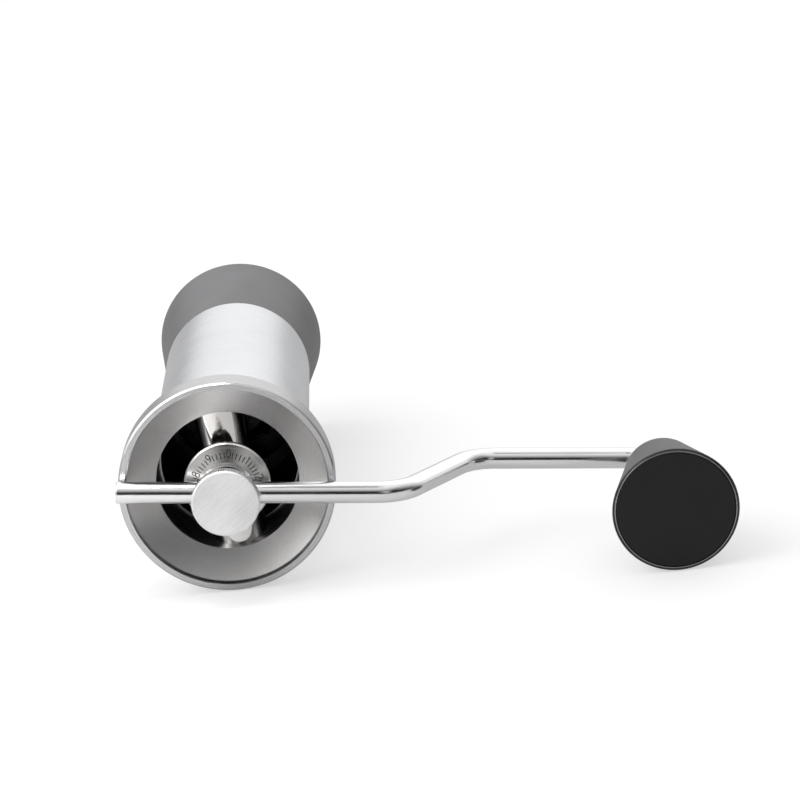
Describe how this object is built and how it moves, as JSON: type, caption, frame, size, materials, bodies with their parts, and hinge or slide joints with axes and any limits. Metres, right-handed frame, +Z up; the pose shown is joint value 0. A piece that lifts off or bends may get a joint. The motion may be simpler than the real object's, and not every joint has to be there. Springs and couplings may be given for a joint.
{
  "type": "hand crank coffee grinder",
  "caption": "Tall steel hand coffee grinder: flared funnel hopper, adjusting dial, stepped crank rod with a tapered knob, conical burrs and a dark magnetic catch cup.",
  "frame": {"origin": "centre of the rubber pad under the catch cup, on the grinder's axis", "axes": "+Z up along the grinder's axis, +X along the crank towards its knob, the grinder standing on its cup"},
  "size_m": [0.2253, 0.08, 0.2375],
  "materials": {
    "cup_coating": "matte powder coat",
    "pad_rubber": "matte",
    "magnet_plate": "nickel plated",
    "tube_steel": "circumferentially brushed",
    "ring_steel": "fine satin",
    "funnel_steel": "bead blasted satin",
    "sleeve_steel": "honed satin",
    "bridge_steel": "polished",
    "carrier_steel": "turned",
    "bearing_steel": "ground",
    "spacer_steel": "turned",
    "spring_steel": "bright wire",
    "burr_steel": "ground tool steel",
    "shaft_steel": "ground",
    "dial_steel": "lathe turned",
    "rod_steel": "polished satin",
    "nut_steel": "straight brushed top",
    "knob_black": "fine matte",
    "bushing_brass": "sintered",
    "knob_ring_steel": "bright",
    "knob_cap_black": "soft satin"
  },
  "bodies": {
    "cup": {"catch_cup": "cup_coating", "cup_foot_pad": "pad_rubber", "cup_magnets": "magnet_plate"},
    "housing": {"body_tube": "tube_steel", "hopper_ring": "ring_steel", "hopper_funnel": "funnel_steel", "throat_sleeve": "sleeve_steel", "bearing_bridge": "bridge_steel", "upper_outer_race": "bearing_steel", "burr_carrier": "carrier_steel", "lower_outer_race": "bearing_steel", "outer_burr": "burr_steel", "retaining_ring": "carrier_steel", "body_magnets": "magnet_plate"},
    "rotor": {"upper_inner_race": "bearing_steel", "upper_ball_cage": "bearing_steel", "click_ring": "spacer_steel", "spacer_sleeve": "spacer_steel", "lower_inner_race": "bearing_steel", "lower_ball_cage": "bearing_steel", "spring_seat": "spacer_steel", "preload_spring": "spring_steel"},
    "dial": {"adjust_dial": "dial_steel"},
    "spindle": {"drive_shaft": "shaft_steel", "inner_burr": "burr_steel", "burr_washer": "shaft_steel", "burr_nut": "shaft_steel"},
    "crank": {"crank_hub": "rod_steel", "crank_rod": "rod_steel", "knob_collar": "rod_steel", "knob_retainer": "rod_steel"},
    "nut": {"thumb_nut": "nut_steel"},
    "knob": {"knob_body": "knob_black", "knob_bushings": "bushing_brass", "knob_ring": "knob_ring_steel", "knob_cap": "knob_cap_black"}
  },
  "joints": [
    {"name": "body_lift", "type": "slide", "parent": "cup", "child": "housing", "axis": [0, 0, 1], "range_m": [0, 0.06]},
    {"name": "crank_turn", "type": "hinge", "parent": "housing", "child": "rotor", "pos_m": [0, 0, 0.15], "axis": [0, 0, 1], "continuous": true},
    {"name": "dial_turn", "type": "hinge", "parent": "rotor", "child": "dial", "pos_m": [0, 0, 0.205], "axis": [0, 0, 1], "range_deg": [0, 720]},
    {"name": "burr_gap", "type": "slide", "parent": "rotor", "child": "spindle", "axis": [0, 0, 1], "range_m": [-0.001, 0], "deforming": ["preload_spring"]},
    {"name": "crank_lift", "type": "slide", "parent": "spindle", "child": "crank", "axis": [0, 0, 1], "range_m": [0, 0.03]},
    {"name": "nut_lift", "type": "slide", "parent": "crank", "child": "nut", "axis": [0, 0, 1], "range_m": [0, 0.02]},
    {"name": "knob_spin", "type": "hinge", "parent": "crank", "child": "knob", "pos_m": [0.162, 0, 0.215], "axis": [0, 0, 1], "continuous": true}
  ],
  "couplings": [
    {"joint": "dial_turn", "follows": "burr_gap", "rad_per_m": -12566}
  ]
}
